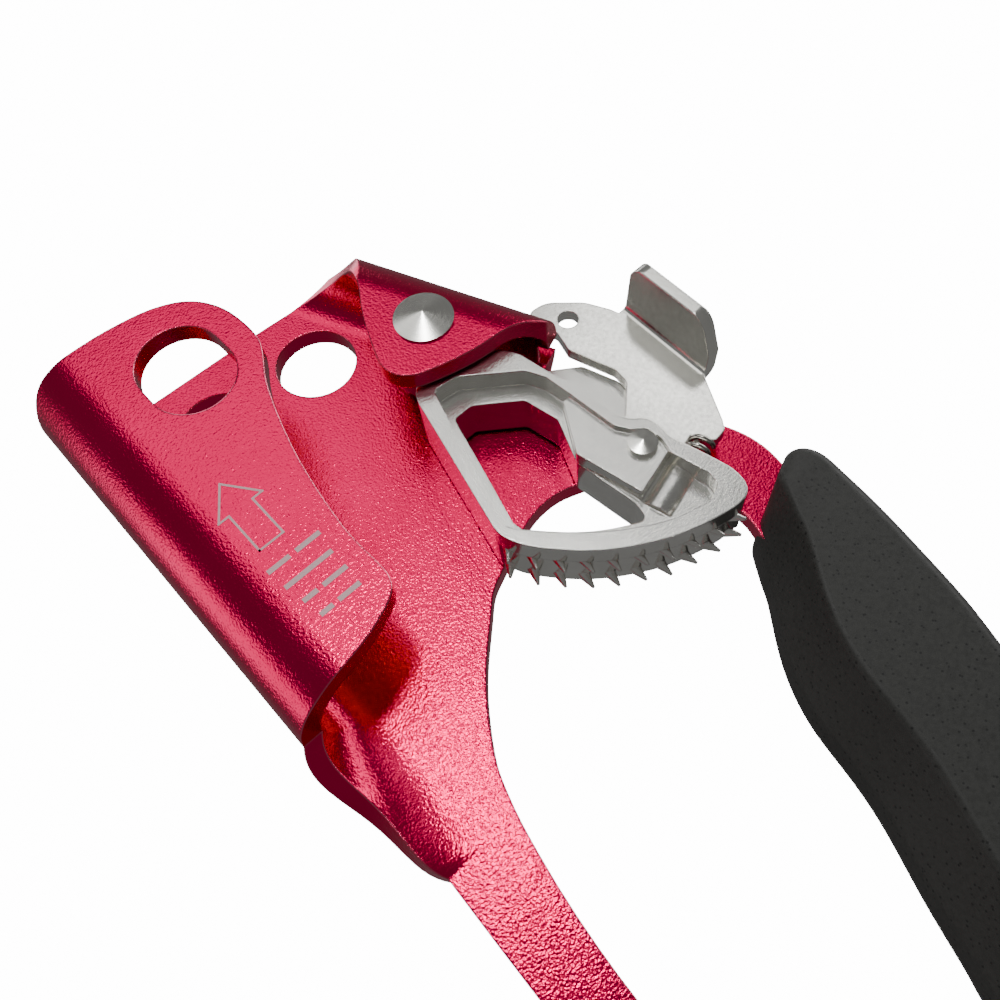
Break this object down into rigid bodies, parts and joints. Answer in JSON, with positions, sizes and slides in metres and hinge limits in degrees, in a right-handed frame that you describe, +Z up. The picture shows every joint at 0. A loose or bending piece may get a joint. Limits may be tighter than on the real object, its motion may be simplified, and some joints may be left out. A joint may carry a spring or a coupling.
{
  "type": "rope ascender",
  "caption": "Handled rope ascender: bent sheet frame with rope channel and clevis, toothed swinging cam, sprung safety catch and moulded rubber grip.",
  "frame": {"origin": "centre of the main attachment hole at the foot of the frame, in the middle of the sheet's thickness", "axes": "+Z up along the rope, +X from the rope channel towards the grip, +Y through the sheet away from the cam side"},
  "size_m": [0.0869, 0.0295, 0.1899],
  "materials": {
    "anodised_sheet": "red anodised, fine matt texture",
    "grip_rubber": "matt black",
    "cast_steel": "bead blasted casting",
    "catch_steel": "satin stamped stainless",
    "bright_steel": "turned",
    "rivet_steel": "spun",
    "spring_steel": "bright drawn wire",
    "washer_plastic": "plain black"
  },
  "bodies": {
    "frame_body": {"frame": "anodised_sheet", "grip": "grip_rubber", "cam_rivet": "rivet_steel", "cam_rivet_washer": "bright_steel", "cam_washer_front": "washer_plastic", "cam_washer_rear": "washer_plastic", "cam_spring": "spring_steel"},
    "cam_body": {"cam": "cast_steel", "cam_bush": "bright_steel", "catch_pin": "rivet_steel", "catch_spring": "spring_steel"},
    "catch_body": {"catch": "catch_steel"}
  },
  "joints": [
    {"name": "cam_swing", "type": "hinge", "parent": "frame_body", "child": "cam_body", "pos_m": [0.0366, 0, 0.1409], "axis": [0, 1, 0], "range_deg": [0, 66]},
    {"name": "catch_release", "type": "hinge", "parent": "cam_body", "child": "catch_body", "pos_m": [0.0459, 0, 0.1035], "axis": [0, 1, 0], "range_deg": [0, 22], "stiffness_Nm_per_rad": 0.05, "springref_deg": -17.19, "deforming": ["catch_spring"]}
  ]
}
